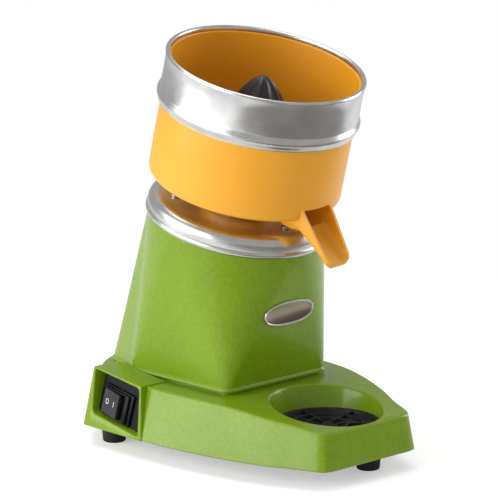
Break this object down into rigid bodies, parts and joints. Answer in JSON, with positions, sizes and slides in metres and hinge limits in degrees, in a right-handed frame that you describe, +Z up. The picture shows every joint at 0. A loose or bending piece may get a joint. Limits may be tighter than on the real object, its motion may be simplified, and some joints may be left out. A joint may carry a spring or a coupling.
{
  "type": "citrus juicer",
  "caption": "Electric citrus press: leaning cast column on a base with a cup well, lift-off juice bowl with spout, metal band, strainer and ribbed cone.",
  "frame": {"origin": "centre of the outline on the plane that the rubber feet stand on", "axes": "+Z up; -Y is the front, toward the cup well and the spout; +X is the right side seen from the front, and the switch is on the -X side"},
  "size_m": [0.1943, 0.3022, 0.3497],
  "materials": {
    "casting_paint": "glossy stoved enamel",
    "polished_alloy": "polished",
    "plain_alloy": "as cast, machined",
    "zinc_steel": "zinc plated",
    "stainless": "brushed",
    "core_steel": "dark oxide laminations",
    "black_rubber": "satin",
    "switch_black": "satin black",
    "rocker_grey": "dark grey",
    "bowl_plastic": "satin yellow orange",
    "cone_plastic": "dark grey",
    "bronze": "sintered bronze",
    "copper": "enamelled winding wire",
    "wire_brown": "brown sleeve",
    "white_plastic": "off-white",
    "dark_plastic": "black moulding",
    "brass": "plain"
  },
  "bodies": {
    "machine": {"base_casting": "casting_paint", "column_casting": "casting_paint", "motor_cap": "polished_alloy", "cap_screws": "zinc_steel", "bowl_pegs": "stainless", "shaft_seal": "black_rubber", "bottom_cover": "zinc_steel", "foot_front": "black_rubber", "foot_rear_left": "black_rubber", "foot_rear_right": "black_rubber", "foot_screws": "zinc_steel", "column_bolts": "zinc_steel", "badge_plate": "stainless", "switch_panel": "switch_black", "switch_frame": "switch_black", "switch_body": "dark_plastic", "cable_gland": "dark_plastic", "gland_nut": "dark_plastic", "capacitor": "white_plastic", "capacitor_clip": "zinc_steel", "terminal_block": "white_plastic", "earth_screw": "brass", "switch_leads": "wire_brown", "motor_leads": "wire_brown", "stator_core": "core_steel", "stator_windings": "copper", "upper_shield": "plain_alloy", "lower_shield": "plain_alloy", "upper_bearing": "stainless", "lower_bearing": "stainless", "tie_bolts": "zinc_steel", "motor_screws": "zinc_steel"},
    "rotor": {"motor_shaft": "stainless", "rotor_core": "core_steel", "cooling_fan": "dark_plastic", "drive_pin": "stainless"},
    "cone": {"press_cone": "cone_plastic", "cone_bush": "bronze"},
    "strainer": {"strainer": "stainless"},
    "bowl": {"bowl": "bowl_plastic", "bowl_band": "polished_alloy"},
    "tray": {"cup_tray": "black_rubber"},
    "rocker": {"switch_rocker": "rocker_grey"}
  },
  "joints": [
    {"name": "rotor_spin", "type": "hinge", "parent": "machine", "child": "rotor", "pos_m": [0, 0.06, 0], "axis": [0, -0.2538, 0.9673], "continuous": true},
    {"name": "cone_lift", "type": "slide", "parent": "rotor", "child": "cone", "axis": [0, -0.2538, 0.9673], "range_m": [0, 0.3]},
    {"name": "strainer_lift", "type": "slide", "parent": "machine", "child": "strainer", "axis": [0, -0.2538, 0.9673], "range_m": [0, 0.21]},
    {"name": "bowl_lift", "type": "slide", "parent": "machine", "child": "bowl", "axis": [0, -0.2538, 0.9673], "range_m": [0, 0.12]},
    {"name": "tray_lift", "type": "slide", "parent": "machine", "child": "tray", "axis": [0, 0, 1], "range_m": [0, 0.06]},
    {"name": "rocker_tilt", "type": "hinge", "parent": "machine", "child": "rocker", "pos_m": [-0.08959, 0.064, 0.03936], "axis": [0.1373, -0.1616, 0.9773], "range_deg": [0, 14]}
  ],
  "couplings": [
    {"joint": "strainer_lift", "follows": "cone_lift", "ratio": 0.7},
    {"joint": "bowl_lift", "follows": "cone_lift", "ratio": 0.4}
  ]
}
